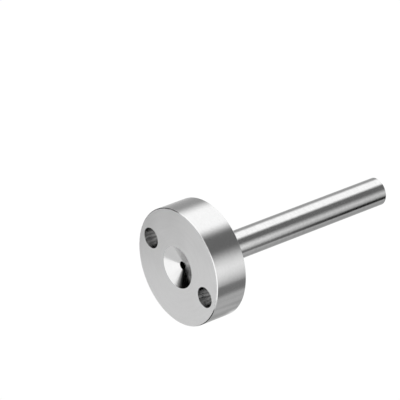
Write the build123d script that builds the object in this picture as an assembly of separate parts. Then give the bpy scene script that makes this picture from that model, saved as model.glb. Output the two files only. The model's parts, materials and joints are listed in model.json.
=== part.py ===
from build123d import *
import os
from math import radians, tan

# Bolt-down sprue bushing, turned in one piece from a bar of tool steel.
# A round flange is bolted to the mould, a long stem reaches through the plates, and a tapered
# sprue channel runs along the axis from the nozzle seat to the end of the stem.
# Frame, in millimetres: the axis lies along Y, with the nozzle side towards -Y and the stem
# towards +Y. The screw holes lie to either side of the axis, along X.
# The origin is the centre of the flange's back, the face that seats on the mould.

# flange
flange_diameter = 50.0
flange_thickness = 15.0
flange_edge_chamfer = 0.3    # both rims

# stem
stem_diameter = 12.0
stem_length = 93.0           # beyond the flange

# nozzle seat, a shallow cone that is sunk in the flange's front face
seat_rim_diameter = 17.8
seat_cone_angle = 140.0      # included

# sprue channel, which widens from the seat to the end of the stem so that the sprue pulls out
channel_inlet_diameter = 3.5
channel_taper_angle = 2.0    # included

# screw holes, each with a flat-bottomed pocket that sinks the screw's head below the face
screw_count = 2
screw_hole_diameter = 5.5
head_diameter = 8.5
head_clearance = 0.2         # on the diameter
head_pocket_depth = 6.0
pocket_rim_wall = 2.4        # steel left between a pocket and the flange's rim


def turned_section():
    """Half section of the turned blank: x is the radius, y the place along the axis."""
    front = -flange_thickness
    flange_radius = flange_diameter / 2
    stem_radius = stem_diameter / 2
    inlet_radius = channel_inlet_diameter / 2
    seat_rim_radius = seat_rim_diameter / 2
    seat_depth = (seat_rim_radius - inlet_radius) / tan(radians(seat_cone_angle / 2))
    inlet = front + seat_depth
    outlet_radius = inlet_radius + (stem_length - inlet) * tan(radians(channel_taper_angle / 2))
    outline = [
        (inlet_radius, inlet),
        (seat_rim_radius, front),
        (flange_radius - flange_edge_chamfer, front),
        (flange_radius, front + flange_edge_chamfer),
        (flange_radius, -flange_edge_chamfer),
        (flange_radius - flange_edge_chamfer, 0),
        (stem_radius, 0),
        (stem_radius, stem_length),
        (outlet_radius, stem_length),
    ]
    return make_face(Polyline(*outline, close=True))


def screw_holes():
    """The stepped holes, bored from the front face on the screw circle."""
    front_face = Plane(origin=(0, -flange_thickness, 0), x_dir=(1, 0, 0), z_dir=(0, -1, 0))
    pocket_radius = (head_diameter + head_clearance) / 2
    screw_circle_radius = flange_diameter / 2 - pocket_rim_wall - pocket_radius
    stepped_hole = [
        Pos(0, 0, -flange_thickness / 2) * Cylinder(screw_hole_diameter / 2, flange_thickness),
        Pos(0, 0, -head_pocket_depth / 2) * Cylinder(pocket_radius, head_pocket_depth),
    ]
    circle = PolarLocations(screw_circle_radius, screw_count)
    return [front_face * place * cut for place in circle for cut in stepped_hole]


def sprue_bushing():
    blank = revolve(turned_section(), axis=Axis.Y)
    return blank - screw_holes()


os.makedirs("parts", exist_ok=True)
bushing = sprue_bushing()
export_step(bushing, "parts/sprue_bushing.step")
print("sprue_bushing: volume", round(bushing.volume, 1), "mm3, solids", len(bushing.solids()))
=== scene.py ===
import json
import math
import bmesh
import bpy
from mathutils import Euler, Matrix, Vector


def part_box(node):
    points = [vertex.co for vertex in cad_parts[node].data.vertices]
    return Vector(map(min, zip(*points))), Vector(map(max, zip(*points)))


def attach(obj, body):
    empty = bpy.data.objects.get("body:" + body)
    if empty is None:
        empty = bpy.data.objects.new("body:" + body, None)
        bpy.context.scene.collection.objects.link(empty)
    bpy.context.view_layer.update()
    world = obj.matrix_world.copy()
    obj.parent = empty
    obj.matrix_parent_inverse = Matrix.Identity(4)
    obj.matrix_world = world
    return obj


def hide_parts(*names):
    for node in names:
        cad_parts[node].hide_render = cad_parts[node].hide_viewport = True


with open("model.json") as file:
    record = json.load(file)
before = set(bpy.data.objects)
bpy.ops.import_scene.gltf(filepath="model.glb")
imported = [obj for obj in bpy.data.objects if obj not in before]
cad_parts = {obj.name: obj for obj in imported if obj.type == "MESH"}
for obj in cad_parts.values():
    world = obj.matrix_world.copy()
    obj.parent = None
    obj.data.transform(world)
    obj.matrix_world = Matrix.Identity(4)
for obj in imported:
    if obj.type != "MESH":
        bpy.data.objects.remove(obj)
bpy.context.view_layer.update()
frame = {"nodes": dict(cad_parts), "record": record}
print("frame loaded:", ", ".join(frame["nodes"]))

mm = 0.001
tiny = 0.01 * mm                                            # places closer than this are the same place
weld = 0.001 * mm                                           # vertices closer than this are merged


def mount(name):
    return next(m for m in frame["record"]["mounts"] if m["name"] == name)


lowCorner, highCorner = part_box("sprue_bushing")

bushing = {
    "front": lowCorner.y,                                   # the face with the nozzle seat
    "stemEnd": highCorner.y,
    "flangeRadius": mount("flange_rim")["dims"]["r_mm"] * mm,
    "stemRadius": mount("stem")["dims"]["r_mm"] * mm,
    "seatRimRadius": 8.9 * mm,
    "inlet": mount("nozzle_seat")["pos_m"][1],              # where the seat meets the channel
    "inletRadius": 1.75 * mm,
    "taper": math.radians(1.0),                             # of the channel's wall to the axis
    "rimChamfer": 0.3 * mm,
    "cornerRadius": 0.03 * mm,                              # the tool leaves no corner quite sharp
    "cornerSteps": 3,
    "stepsRound": 288,
}

pockets = {
    "circleRadius": mount("screw_holes")["dims"]["pcd_mm"] * mm / 2,
    "holeRadius": mount("screw_holes")["dims"]["hole_r_mm"] * mm,
    "headRadius": 4.35 * mm,
    "headDepth": 6.0 * mm,
    "overshoot": 1.0 * mm,                                  # the cutter runs past both faces
    "edgeBreak": 0.08 * mm,
    "edgeSteps": 2,
    "stepsRound": 96,
}


# Mesh helpers

# a closed outline of (radius, y) points, turned once round the Y axis
def spunMesh(outline, steps, cornerRadius=0.0, cornerSteps=1):
    bm = bmesh.new()
    corners = [bm.verts.new((radius, y, 0.0)) for radius, y in outline]
    for here, there in zip(corners, corners[1:] + corners[:1]):
        bm.edges.new((here, there))
    if cornerRadius:
        bmesh.ops.bevel(bm, geom=corners, offset=cornerRadius, affect="VERTICES", segments=cornerSteps,
                        profile=0.5, material=-1)
    bmesh.ops.spin(bm, geom=bm.verts[:] + bm.edges[:], cent=(0, 0, 0), axis=(0, 1, 0), dvec=(0, 0, 0),
                   angle=math.tau, steps=steps, use_merge=True)
    bmesh.ops.remove_doubles(bm, verts=bm.verts, dist=weld)
    bmesh.ops.recalc_face_normals(bm, faces=bm.faces)
    return bm


def newObject(name, bm):
    mesh = bpy.data.meshes.new(name)
    bm.to_mesh(mesh)
    bm.free()
    thing = bpy.data.objects.new(name, mesh)
    bpy.context.scene.collection.objects.link(thing)
    return thing


# The bushing

# the blank's half section, from the inlet over the flange to the end of the stem
def turnedOutline():
    b = bushing
    outletRadius = b["inletRadius"] + (b["stemEnd"] - b["inlet"]) * math.tan(b["taper"])
    return [
        (b["inletRadius"], b["inlet"]),
        (b["seatRimRadius"], b["front"]),
        (b["flangeRadius"] - b["rimChamfer"], b["front"]),
        (b["flangeRadius"], b["front"] + b["rimChamfer"]),
        (b["flangeRadius"], -b["rimChamfer"]),
        (b["flangeRadius"] - b["rimChamfer"], 0.0),
        (b["stemRadius"], 0.0),
        (b["stemRadius"], b["stemEnd"]),
        (outletRadius, b["stemEnd"]),
    ]


def turnedBlank():
    b = bushing
    blank = spunMesh(turnedOutline(), b["stepsRound"], b["cornerRadius"], b["cornerSteps"])
    return newObject("bushing", blank)


def pocketCutter():
    p = pockets
    floor = bushing["front"] + p["headDepth"]
    outline = [
        (0.0, bushing["front"] - p["overshoot"]),
        (p["headRadius"], bushing["front"] - p["overshoot"]),
        (p["headRadius"], floor),
        (p["holeRadius"], floor),
        (p["holeRadius"], p["overshoot"]),
        (0.0, p["overshoot"]),
    ]
    both = bmesh.new()
    for side in (-1, 1):
        one = spunMesh(outline, p["stepsRound"])
        bmesh.ops.translate(one, verts=one.verts, vec=(side * p["circleRadius"], 0, 0))
        spare = bpy.data.meshes.new("cutterHalf")
        one.to_mesh(spare)
        one.free()
        both.from_mesh(spare)
        bpy.data.meshes.remove(spare)
    return newObject("pocketCutter", both)


def fromPocketAxis(point):
    return math.hypot(abs(point.x) - pockets["circleRadius"], point.z)


# edges where a pocket or a hole opens in a flat face of the flange
def pocketMouths(bm):
    p = pockets
    mouths = []
    for edge in bm.edges:
        atFront = all(abs(v.co.y - bushing["front"]) < tiny for v in edge.verts)
        atBack = all(abs(v.co.y) < tiny for v in edge.verts)
        radius = p["headRadius"] if atFront else p["holeRadius"]
        if (atFront or atBack) and all(abs(fromPocketAxis(v.co) - radius) < tiny for v in edge.verts):
            mouths.append(edge)
    return mouths


def cutPockets(blank):
    cutter = pocketCutter()
    cut = blank.modifiers.new("pockets", "BOOLEAN")
    cut.operation = "DIFFERENCE"
    cut.solver = "EXACT"
    cut.object = cutter
    shape = blank.evaluated_get(bpy.context.evaluated_depsgraph_get())
    bm = bmesh.new()
    bm.from_mesh(shape.to_mesh())
    shape.to_mesh_clear()
    blank.modifiers.remove(cut)
    bpy.data.objects.remove(cutter)
    bmesh.ops.remove_doubles(bm, verts=bm.verts, dist=weld)
    bmesh.ops.bevel(bm, geom=pocketMouths(bm), offset=pockets["edgeBreak"], affect="EDGES",
                    segments=pockets["edgeSteps"], profile=0.5, material=-1)
    bm.to_mesh(blank.data)
    bm.free()
    print("pockets cut, edges broken")


# Node helpers

def addNode(tree, kind, **values):
    node = tree.nodes.new(kind)
    for key, value in values.items():
        setattr(node, key, value)
    return node


# a link to another node's socket, or else a plain value
def plug(tree, value, socket):
    if isinstance(value, bpy.types.NodeSocket):
        tree.links.new(value, socket)
    else:
        socket.default_value = value


def mathNode(tree, operation, *values):
    node = addNode(tree, "ShaderNodeMath", operation=operation)
    for value, socket in zip(values, node.inputs):
        plug(tree, value, socket)
    return node.outputs[0]


def vectorNode(tree, operation, *values, output="Vector"):
    node = addNode(tree, "ShaderNodeVectorMath", operation=operation)
    for value, socket in zip(values, node.inputs):
        plug(tree, value, socket)
    return node.outputs[output]


def combined(tree, x, y, z):
    node = tree.nodes.new("ShaderNodeCombineXYZ")
    for value, socket in zip((x, y, z), node.inputs):
        plug(tree, value, socket)
    return node.outputs[0]


def separated(tree, vector):
    node = tree.nodes.new("ShaderNodeSeparateXYZ")
    plug(tree, vector, node.inputs[0])
    return node.outputs


# value going from low to high comes out as 0 to 1
def ramp(tree, value, low, high, softly=False):
    node = addNode(tree, "ShaderNodeMapRange", interpolation_type="SMOOTHSTEP" if softly else "LINEAR")
    plug(tree, value, node.inputs["Value"])
    plug(tree, low, node.inputs["From Min"])
    plug(tree, high, node.inputs["From Max"])
    return node.outputs["Result"]


def blend(tree, share, first, second):
    return mathNode(tree, "MULTIPLY_ADD", share, mathNode(tree, "SUBTRACT", second, first), first)


def noise(tree, place, detail):
    node = tree.nodes.new("ShaderNodeTexNoise")
    plug(tree, place, node.inputs["Vector"])
    node.inputs["Scale"].default_value = 1.0
    node.inputs["Detail"].default_value = detail
    return node.outputs["Fac"]


def newGroup(name, inputs, outputs):
    group = bpy.data.node_groups.new(name, "ShaderNodeTree")
    for way, sockets in (("INPUT", inputs), ("OUTPUT", outputs)):
        for label, kind in sockets.items():
            group.interface.new_socket(label, in_out=way, socket_type="NodeSocket" + kind)
    return group, group.nodes.new("NodeGroupInput").outputs, group.nodes.new("NodeGroupOutput").inputs


def useGroup(tree, group, **values):
    node = addNode(tree, "ShaderNodeGroup", node_tree=group)
    for label, value in values.items():
        plug(tree, value, node.inputs[label])
    return node.outputs


# Materials: one steel, in the finish that each surface was left with

micron = 1e-6

# low and high cut a noise off where a tone or a mask is to be quite dark or quite light
marks = {
    "feedShare": 0.3,                                       # the lathe's even feed, the rest is ragged
    "bandPitches": 7.0,                                     # how many pitches wide the bands of tone are
    "toneShare": 0.5,                                       # of the colour's tone, the rest is the grain's
    "detail": 2.0,
    "low": 0.3,
    "high": 0.7,
}
grains = {"detail": 2.0, "toneDetail": 1.0, "toneAway": (17.0, 5.0, 9.0), "low": 0.3, "high": 0.7}
smudges = {"size": 11 * mm, "detail": 4.0, "low": 0.42, "high": 0.62}
wear = {"breakUp": 0.6 * mm, "detail": 2.0, "low": 0.35, "high": 0.65, "least": 0.35}

# shade is the steel's grey from dark to light. across is what the tool marks are stepped along, and a mark
# keeps its form over run. cut and relief are the heights of the tool marks and of the grain.
finishes = {
    "facedSteel": {
        "shade": (0.795, 0.845), "rubbed": 0.87, "roughness": 0.375, "handled": 0.04, "polishedEdge": 0.08,
        "across": "Radius", "pitch": 0.17 * mm, "run": 9 * mm, "cut": 0.7 * micron,
        "grain": (0.5 * mm, 0.5 * mm, 0.5 * mm), "relief": 0.8 * micron, "wearWidth": 0.22 * mm,
    },
    "turnedRim": {
        "shade": (0.7, 0.745), "rubbed": 0.84, "roughness": 0.13, "handled": 0.03, "polishedEdge": 0.03,
        "across": "Depth", "pitch": 0.11 * mm, "run": 7 * mm, "cut": 0.12 * micron,
        "grain": (0.8 * mm, 1.2 * mm, 0.8 * mm), "relief": 6 * micron, "wearWidth": 0.2 * mm,
    },
    "groundStem": {
        "shade": (0.65, 0.79), "rubbed": 0.84, "roughness": 0.12, "handled": 0.03, "polishedEdge": 0.03,
        "across": "Depth", "pitch": 0.09 * mm, "run": 4 * mm, "cut": 0.08 * micron,
        "grain": (0.5 * mm, 1.6 * mm, 0.5 * mm), "relief": 14 * micron, "wearWidth": 0.2 * mm,
    },
    "polishedSeat": {
        "shade": (0.71, 0.74), "rubbed": 0.84, "roughness": 0.13, "handled": 0.03, "polishedEdge": 0.02,
        "across": "Radius", "pitch": 0.08 * mm, "run": 5 * mm, "cut": 0.03 * micron,
        "grain": (0.6 * mm, 0.6 * mm, 0.6 * mm), "relief": 0.3 * micron, "wearWidth": 0.15 * mm,
    },
    # walls of the screw pockets and the sprue channel: their tool marks and grain are real, but their
    # darker grey is painted shade for the dim recesses
    "boredHoleWithPaintedShade": {
        "shade": (0.57, 0.66), "rubbed": 0.8, "roughness": 0.11, "handled": 0.04, "polishedEdge": 0.06,
        "across": "Depth", "pitch": 0.3 * mm, "run": 3 * mm, "cut": 1.6 * micron,
        "grain": (0.6 * mm, 5 * mm, 0.6 * mm), "relief": 14 * micron, "wearWidth": 0.15 * mm,
    },
}


# how far a point lies from the bushing's axis, along it, and from the nearer screw hole's axis
def lathePlaceGroup():
    group, given, result = newGroup("lathePlace", {"Place": "Vector"},
                                    {"Radius": "Float", "Depth": "Float", "FromHole": "Float"})
    x, y, z = separated(group, given["Place"])
    radius = vectorNode(group, "LENGTH", combined(group, x, 0.0, z), output="Value")
    besideHole = mathNode(group, "SUBTRACT", mathNode(group, "ABSOLUTE", x), pockets["circleRadius"])
    fromHole = vectorNode(group, "LENGTH", combined(group, besideHole, 0.0, z), output="Value")
    plug(group, radius, result["Radius"])
    plug(group, y, result["Depth"])
    plug(group, fromHole, result["FromHole"])
    return group


# the grooves that a tool leaves round the axis
def toolMarksGroup():
    inputs = {"Place": "Vector", "Across": "Float", "Pitch": "Float", "Run": "Float"}
    group, given, result = newGroup("toolMarks", inputs, {"Height": "Float", "Tone": "Float"})
    x, y, z = separated(group, given["Place"])
    step = mathNode(group, "DIVIDE", given["Across"], given["Pitch"])
    alongX = mathNode(group, "DIVIDE", x, given["Run"])
    alongZ = mathNode(group, "DIVIDE", z, given["Run"])
    ragged = noise(group, combined(group, step, alongX, alongZ), marks["detail"])
    even = mathNode(group, "SINE", mathNode(group, "MULTIPLY", step, math.tau))
    feed = mathNode(group, "MULTIPLY_ADD", even, 0.5, 0.5)  # from -1..1 to 0..1
    wideStep = mathNode(group, "DIVIDE", step, marks["bandPitches"])
    bands = noise(group, combined(group, wideStep, alongX, alongZ), marks["detail"])
    plug(group, blend(group, marks["feedShare"], ragged, feed), result["Height"])
    plug(group, ramp(group, bands, marks["low"], marks["high"]), result["Tone"])
    return group


# the fine mottle of steel, with cells of the given size along each axis
def steelGrainGroup():
    group, given, result = newGroup("steelGrain", {"Place": "Vector", "Size": "Vector"},
                                    {"Height": "Float", "Tone": "Float"})
    cells = vectorNode(group, "DIVIDE", given["Place"], given["Size"])
    otherCells = vectorNode(group, "ADD", cells, grains["toneAway"])
    mottle = noise(group, otherCells, grains["toneDetail"])
    plug(group, noise(group, cells, grains["detail"]), result["Height"])
    plug(group, ramp(group, mottle, grains["low"], grains["high"]), result["Tone"])
    return group


# where hands and cloths have dulled the steel
def smudgesGroup():
    group, given, result = newGroup("smudges", {"Place": "Vector", "Size": "Float"}, {"Mask": "Float"})
    spots = vectorNode(group, "DIVIDE", given["Place"], combined(group, *[given["Size"]] * 3))
    cloud = noise(group, spots, smudges["detail"])
    plug(group, ramp(group, cloud, smudges["low"], smudges["high"], softly=True), result["Mask"])
    return group


# the bright rubbed line along every sharp edge, which comes and goes along it
def edgeWearGroup():
    b, p = bushing, pockets
    innerCorner = (b["stemRadius"], 0.0)
    turnedEdges = [corner for corner in turnedOutline() if corner != innerCorner]
    holeEdges = [
        (p["headRadius"], b["front"]),
        (p["holeRadius"], b["front"] + p["headDepth"]),
        (p["holeRadius"], 0.0),
    ]
    group, given, result = newGroup("edgeWear", {"Place": "Vector", "Width": "Float"}, {"Mask": "Float"})
    lathe = useGroup(group, lathePlace, Place=given["Place"])
    nearest = 1.0                                           # a metre, farther than any edge
    for across, edges in (("Radius", turnedEdges), ("FromHole", holeEdges)):
        here = combined(group, lathe[across], lathe["Depth"], 0.0)
        for radius, depth in edges:
            away = vectorNode(group, "DISTANCE", here, (radius, depth, 0.0), output="Value")
            nearest = mathNode(group, "MINIMUM", away, nearest)
    line = ramp(group, nearest, given["Width"], 0.0, softly=True)
    spots = vectorNode(group, "SCALE", given["Place"])
    spots.node.inputs["Scale"].default_value = 1 / wear["breakUp"]
    patches = ramp(group, noise(group, spots, wear["detail"]), wear["low"], wear["high"])
    broken = blend(group, patches, wear["least"], 1.0)
    plug(group, mathNode(group, "MULTIPLY", line, broken), result["Mask"])
    return group


lathePlace = lathePlaceGroup()
toolMarks = toolMarksGroup()
steelGrain = steelGrainGroup()
handSmudges = smudgesGroup()
edgeWear = edgeWearGroup()
print("finish groups made")


def grey(value):
    return (value, value, value, 1.0)


def mixColour(tree, share, first, second):
    node = addNode(tree, "ShaderNodeMix", data_type="RGBA")
    for value, label in ((share, "Factor"), (first, "A"), (second, "B")):
        plug(tree, value, next(s for s in node.inputs if s.name == label and s.enabled))
    return next(s for s in node.outputs if s.enabled)


def finishMaterial(name):
    finish = finishes[name]
    material = bpy.data.materials.new(name)
    material.use_nodes = True
    tree = material.node_tree
    shader = tree.nodes["Principled BSDF"]
    shader.inputs["Metallic"].default_value = 1.0

    place = tree.nodes.new("ShaderNodeTexCoord").outputs["Object"]
    lathe = useGroup(tree, lathePlace, Place=place)
    tool = useGroup(tree, toolMarks, Place=place, Across=lathe[finish["across"]], Pitch=finish["pitch"],
                    Run=finish["run"])
    grain = useGroup(tree, steelGrain, Place=place, Size=finish["grain"])
    dulled = useGroup(tree, handSmudges, Place=place, Size=smudges["size"])["Mask"]
    rubbed = useGroup(tree, edgeWear, Place=place, Width=finish["wearWidth"])["Mask"]

    dark, light = finish["shade"]
    tone = blend(tree, marks["toneShare"], grain["Tone"], tool["Tone"])
    colour = mixColour(tree, tone, grey(dark), grey(light))
    colour = mixColour(tree, rubbed, colour, grey(finish["rubbed"]))
    plug(tree, colour, shader.inputs["Base Color"])

    handled = mathNode(tree, "MULTIPLY_ADD", dulled, finish["handled"], finish["roughness"])
    polished = mathNode(tree, "MULTIPLY", rubbed, finish["polishedEdge"])
    plug(tree, mathNode(tree, "SUBTRACT", handled, polished), shader.inputs["Roughness"])

    grooves = mathNode(tree, "MULTIPLY", tool["Height"], finish["cut"])
    height = mathNode(tree, "MULTIPLY_ADD", grain["Height"], finish["relief"], grooves)
    bump = addNode(tree, "ShaderNodeBump")
    bump.inputs["Distance"].default_value = 1.0             # the heights are in metres
    plug(tree, height, bump.inputs["Height"])
    plug(tree, bump.outputs["Normal"], shader.inputs["Normal"])
    return material


nearlyFlat = 0.999
fullWeight = 100                                            # flat faces keep their own normals


# by where a face lies on the bushing
def finishOf(face):
    b, p = bushing, pockets
    centre = face.calc_center_median()
    radius = math.hypot(centre.x, centre.z)
    fromFlats = min(abs(centre.y - depth) for depth in (b["front"], 0.0, b["stemEnd"]))
    if abs(face.normal.y) > nearlyFlat and fromFlats < tiny:
        return "facedSteel"
    if centre.y < tiny:
        if fromPocketAxis(centre) < p["headRadius"] + p["edgeBreak"]:
            return "boredHoleWithPaintedShade"
        if radius > b["flangeRadius"] - b["rimChamfer"] - b["cornerRadius"]:
            return "turnedRim"
        if centre.y < b["inlet"] and radius < b["seatRimRadius"] + b["cornerRadius"]:
            return "polishedSeat"
    return "groundStem" if radius > b["stemRadius"] - b["cornerRadius"] else "boredHoleWithPaintedShade"


def dressBushing(piece):
    order = list(finishes)
    for name in order:
        piece.data.materials.append(finishMaterial(name))
    bm = bmesh.new()
    bm.from_mesh(piece.data)
    for face in bm.faces:
        face.smooth = True
        face.material_index = order.index(finishOf(face))
    bm.to_mesh(piece.data)
    bm.free()
    even = piece.modifiers.new("evenNormals", "WEIGHTED_NORMAL")
    even.keep_sharp = True
    even.weight = fullWeight


bushingPiece = turnedBlank()
cutPockets(bushingPiece)
dressBushing(bushingPiece)
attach(bushingPiece, "root")
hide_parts("sprue_bushing")
print("bushing made,", len(bushingPiece.data.polygons), "faces")


# Studio: a white room and floor, with a few boards and strip lights that only the metal sees

floor = {
    "drop": 0.35,                                           # so low that its soft shadow is out of frame
    "size": 8.0,
    "tone": 0.85,
    "lift": 0.17,                                           # glow that brings the seen floor up to white
}

room = {
    "white": 1.0,
    "ambient": 0.7,
    "sun": 1.0,
    "sunSoftness": math.radians(50),
    "sunTurn": (math.radians(12), math.radians(-18), 0),
}


def emptyTree(owner):
    owner.use_nodes = True
    owner.node_tree.nodes.clear()
    return owner.node_tree


# 1 for what the camera sees straight, in metal or through glass
def seenAsBackground(tree):
    path = tree.nodes.new("ShaderNodeLightPath")
    seen = mathNode(tree, "MAXIMUM", path.outputs["Is Camera Ray"], path.outputs["Is Glossy Ray"])
    return mathNode(tree, "MAXIMUM", seen, path.outputs["Is Transmission Ray"])


def makeRoom():
    world = bpy.data.worlds.new("whiteRoom")
    bpy.context.scene.world = world
    tree = emptyTree(world)
    light = tree.nodes.new("ShaderNodeBackground")
    light.inputs["Color"].default_value = (1, 1, 1, 1)
    out = tree.nodes.new("ShaderNodeOutputWorld")
    strength = blend(tree, seenAsBackground(tree), room["ambient"], room["white"])
    plug(tree, strength, light.inputs["Strength"])
    plug(tree, light.outputs[0], out.inputs["Surface"])

    lamp = bpy.data.lights.new("topLight", "SUN")
    lamp.energy = room["sun"]
    lamp.angle = room["sunSoftness"]
    lampObject = bpy.data.objects.new("topLight", lamp)
    lampObject.rotation_euler = room["sunTurn"]
    lampObject.visible_glossy = False
    bpy.context.scene.collection.objects.link(lampObject)


def makeFloor():
    bm = bmesh.new()
    bmesh.ops.create_grid(bm, x_segments=1, y_segments=1, size=floor["size"])
    bmesh.ops.translate(bm, verts=bm.verts, vec=(0, 0, lowCorner.z - floor["drop"]))
    plane = newObject("floor", bm)
    material = bpy.data.materials.new("paleFloor")
    tree = emptyTree(material)
    matt = tree.nodes.new("ShaderNodeBsdfDiffuse")
    matt.inputs["Color"].default_value = (floor["tone"],) * 3 + (1,)
    glow = tree.nodes.new("ShaderNodeEmission")
    both = tree.nodes.new("ShaderNodeAddShader")
    out = tree.nodes.new("ShaderNodeOutputMaterial")
    plug(tree, mathNode(tree, "MULTIPLY", seenAsBackground(tree), floor["lift"]), glow.inputs["Strength"])
    plug(tree, matt.outputs[0], both.inputs[0])
    plug(tree, glow.outputs[0], both.inputs[1])
    plug(tree, both.outputs[0], out.inputs["Surface"])
    plane.data.materials.append(material)


# soft is the share of a card's width that fades in at its first side, at its last side, and at each end.
cardSteps = {"across": 24, "along": 2}
middle = 0.5                                                # of a card, whose sides and ends are at 0 and 1

# Strips lie along the bushing's axis, from one angle to another round it, counted from +X towards +Z.
strips = {
    "darkWall": {"from": -24, "to": 200, "radius": 1.0, "near": -1.3, "far": 2.0, "level": 0.165,
                 "soft": (0.03, 0.03, 0.05)},
    "rightWall": {"from": -23, "to": 60, "radius": 0.97, "near": -1.3, "far": 2.0, "level": 0.71,
                  "soft": (0.57, 0.48, 0.05)},
    "rightLight": {"from": -23, "to": 60, "radius": 0.96, "near": -1.3, "far": 0.76, "level": 1.18,
                   "soft": (0.57, 0.48, 0.09)},
    "leftLight": {"from": 83, "to": 200, "radius": 0.96, "near": -1.3, "far": 2.0, "level": 1.28,
                  "soft": (0.2, 0.05, 0.05)},
    "leftWall": {"from": 143, "to": 252, "radius": 0.42, "near": 0.1, "far": 1.2, "level": 0.39,
                 "soft": (0.28, 0.63, 0.05)},
    "rightFlag": {"from": -35, "to": -7, "radius": 0.45, "near": 0.1, "far": 1.2, "level": 0.21,
                  "soft": (0.37, 0.13, 0.05)},
    "farFlag": {"from": -41, "to": -1, "radius": 0.44, "near": 0.33, "far": 1.2, "level": 0.0,
                "soft": (0.4, 0.4, 0.08)},
}

# Boards face the bushing. azimuth, counted from -Y towards +X, and height give the way there in degrees.
boards = {
    "frontWall": {"azimuth": 0, "height": 12, "roll": 0, "distance": 1.4,
                  "wide": 5.0, "high": 2.2, "level": 0.85, "soft": (0.1, 0.1, 0.1)},
    "backWall": {"azimuth": 180, "height": 12, "roll": 0, "distance": 2.2,
                 "wide": 5.0, "high": 3.0, "level": 0.5, "soft": (0.1, 0.1, 0.1)},
    "keyCard": {"azimuth": 38, "height": -5, "roll": 0, "distance": 0.7,
                "wide": 0.58, "high": 1.2, "level": 1.28, "soft": (0.1, 0.15, 0.08)},
    "sideCard": {"azimuth": -74, "height": 0, "roll": 36, "distance": 0.5,
                 "wide": 0.3, "high": 0.6, "level": 0.04, "soft": (0.3, 0.3, 0.2)},
    "frontLight": {"azimuth": -14.3, "height": -20.8, "roll": -4, "distance": 0.36,
                   "wide": 0.29, "high": 0.186, "level": 1.28, "soft": (0.244, 0.22, 0.1)},
    "sideLight": {"azimuth": -54.2, "height": -50.5, "roll": 0, "distance": 0.252,
                  "wide": 0.114, "high": 0.072, "level": 1.28, "soft": (0.3, 0.3, 0.3)},
    "leftCard": {"azimuth": -58.3, "height": -27.7, "roll": -38, "distance": 0.252,
                 "wide": 0.216, "high": 0.138, "level": 0.0, "soft": (0.15, 0.2, 0.25)},
    "dimCard": {"azimuth": -41.2, "height": -10, "roll": 0, "distance": 0.3,
                "wide": 0.09, "high": 0.18, "level": 0.3, "soft": (0.3, 0.3, 0.3)},
    "smallCard": {"azimuth": -37.3, "height": -33.7, "roll": 0, "distance": 0.3,
                  "wide": 0.12, "high": 0.054, "level": 0.26, "soft": (0.3, 0.3, 0.3)},
}

# Mats lie level, over the floor. The near one is just under the bushing.
mats = {
    "backMat": {"left": -1.6, "right": 1.6, "near": 0.1, "far": 2.4, "over": 0.01, "level": 0.5,
                "soft": (0.05, 0.05, 0.05)},
    "farMat": {"left": -1.6, "right": -0.1, "near": 0.2, "far": 2.0, "over": 0.014, "level": 0.93,
               "soft": (0.1, 0.14, 0.1)},
    "rightMat": {"left": -0.03, "right": 0.5, "near": 0.25, "far": 1.4, "over": 0.015, "level": 0.38,
                 "soft": (0.15, 0.6, 0.02)},
    "lowMat": {"left": -0.04, "right": 0.14, "near": 0.0, "far": 0.27, "over": 0.015, "level": 0.37,
               "soft": (0.12, 0.55, 0.1)},
    "frontMat": {"left": -1.2, "right": 1.2, "near": -0.6, "far": 0.2, "over": 0.005, "level": 0.74,
                 "soft": (0.1, 0.1, 0.1)},
    "innerMat": {"left": -0.8, "right": -0.23, "near": -0.7, "far": -0.19, "over": 0.007, "level": 0.16,
                 "soft": (0.1, 0.16, 0.12)},
    "seatMat": {"left": -0.28, "right": -0.09, "near": -0.52, "far": -0.2, "over": 0.009, "level": 0.48,
                "soft": (0.2, 0.3, 0.2)},
    "sideMat": {"left": -0.3, "right": -0.09, "near": -0.16, "far": 0.04, "over": 0.009, "level": 0.45,
                "soft": (0.1, 0.5, 0.3)},
    "edgeMat": {"left": 0.0, "right": 0.32, "near": -0.28, "far": 0.01, "over": 0.007, "level": 0.0,
                "soft": (0.08, 0.08, 0.08)},
    "leftMat": {"left": -1.2, "right": -0.26, "near": -0.2, "far": 0.4, "over": 0.012, "level": 0.25,
                "soft": (0.1, 0.06, 0.15)},
    "rimMat": {"left": 0.21, "right": 0.43, "near": 0.2, "far": 0.35, "over": 0.018, "level": 0.5,
               "soft": (0.2, 0.4, 0.15)},
    "nearMat": {"left": 0.002, "right": 0.028, "near": 0.011, "far": 0.03, "over": 0.341, "level": 0.85,
                "soft": (0.3, 0.45, 0.3)},
}


# mask that fades a card's sides and ends
def cardFeatherGroup():
    group, given, result = newGroup("cardFeather", {"First": "Float", "Last": "Float", "Ends": "Float"},
                                    {"Mask": "Float"})
    across, along, _ = separated(group, group.nodes.new("ShaderNodeUVMap").outputs[0])
    fromLast = mathNode(group, "SUBTRACT", 1.0, across)
    fromEnd = mathNode(group, "PINGPONG", along, middle)
    sides = mathNode(group, "MULTIPLY", ramp(group, across, 0.0, given["First"], softly=True),
                     ramp(group, fromLast, 0.0, given["Last"], softly=True))
    ends = ramp(group, fromEnd, 0.0, given["Ends"], softly=True)
    plug(group, mathNode(group, "MULTIPLY", sides, ends), result["Mask"])
    return group


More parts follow.
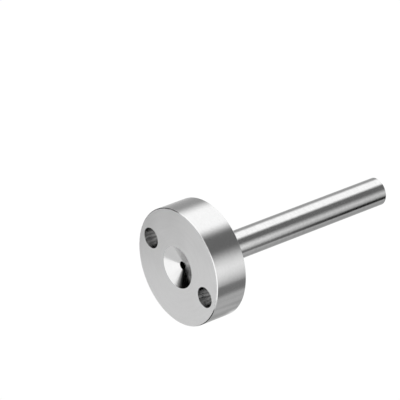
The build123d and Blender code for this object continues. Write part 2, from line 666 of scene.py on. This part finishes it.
# a lit or dark card, where place turns across and along, 0 to 1, into a point
def makeCard(name, place, level, soft):
    bm = bmesh.new()
    bm.loops.layers.uv.new("across")
    bmesh.ops.create_grid(bm, x_segments=cardSteps["across"], y_segments=cardSteps["along"], size=middle,
                          calc_uvs=True)
    for vert in bm.verts:
        vert.co = place(vert.co.x + middle, vert.co.y + middle)
    card = newObject(name, bm)
    for kind in ("camera", "diffuse", "shadow", "volume_scatter"):
        setattr(card, "visible_" + kind, False)
    material = bpy.data.materials.new(name)
    tree = emptyTree(material)
    first, last, ends = soft
    mask = useGroup(tree, cardFeather, First=first, Last=last, Ends=ends)["Mask"]
    clear = tree.nodes.new("ShaderNodeBsdfTransparent")
    glow = tree.nodes.new("ShaderNodeEmission")
    glow.inputs["Strength"].default_value = level
    either = tree.nodes.new("ShaderNodeMixShader")
    out = tree.nodes.new("ShaderNodeOutputMaterial")
    plug(tree, mask, either.inputs["Fac"])
    plug(tree, clear.outputs[0], either.inputs[1])
    plug(tree, glow.outputs[0], either.inputs[2])
    plug(tree, either.outputs[0], out.inputs["Surface"])
    material.cycles.emission_sampling = "NONE"
    card.data.materials.append(material)


def between(first, last, share):
    return first + (last - first) * share


def stripPlace(strip):
    def place(across, along):
        angle = math.radians(between(strip["from"], strip["to"], across))
        y = between(strip["near"], strip["far"], along)
        return Vector((strip["radius"] * math.cos(angle), y, strip["radius"] * math.sin(angle)))
    return place


def boardPlace(board):
    turn = Euler((-math.radians(board["height"]), 0, math.radians(board["azimuth"])), "XYZ").to_matrix()
    roll = Euler((0, math.radians(board["roll"]), 0), "XYZ").to_matrix()

    def place(across, along):
        flat = Vector(((across - middle) * board["wide"], 0, (along - middle) * board["high"]))
        return turn @ (roll @ flat + Vector((0, -board["distance"], 0)))
    return place


def matPlace(mat):
    height = lowCorner.z - floor["drop"] + mat["over"]

    def place(across, along):
        x = between(mat["left"], mat["right"], across)
        y = between(mat["near"], mat["far"], along)
        return Vector((x, y, height))
    return place


makeRoom()
makeFloor()
cardFeather = cardFeatherGroup()
for cards, placing in ((strips, stripPlace), (boards, boardPlace), (mats, matPlace)):
    for cardName, values in cards.items():
        makeCard(cardName, placing(values), values["level"], values["soft"])
print("studio set up with", len(strips) + len(boards) + len(mats), "cards")


# Camera, at the photograph's place

camera = {
    "place": (0.57054, -0.68452, 0.82327),
    "lookAt": (-0.02758, 0.01783, 0.0),
    "roll": math.radians(17.777),
    "lens": 270.0,
    "sensor": 36.0,
    "nearest": 0.01,
    "farthest": 100.0,
}


def placeCamera():
    data = bpy.data.cameras.new("camera")
    data.lens = camera["lens"]
    data.sensor_width = camera["sensor"]
    data.clip_start = camera["nearest"]
    data.clip_end = camera["farthest"]
    cameraObject = bpy.data.objects.new("camera", data)
    bpy.context.scene.collection.objects.link(cameraObject)
    place = Vector(camera["place"])
    level = (Vector(camera["lookAt"]) - place).to_track_quat("-Z", "Y").to_matrix().to_4x4()
    cameraObject.matrix_world = Matrix.Translation(place) @ level @ Matrix.Rotation(camera["roll"], 4, "Z")
    bpy.context.scene.camera = cameraObject


placeCamera()
bpy.context.scene.view_settings.view_transform = "Standard"
print("camera placed")
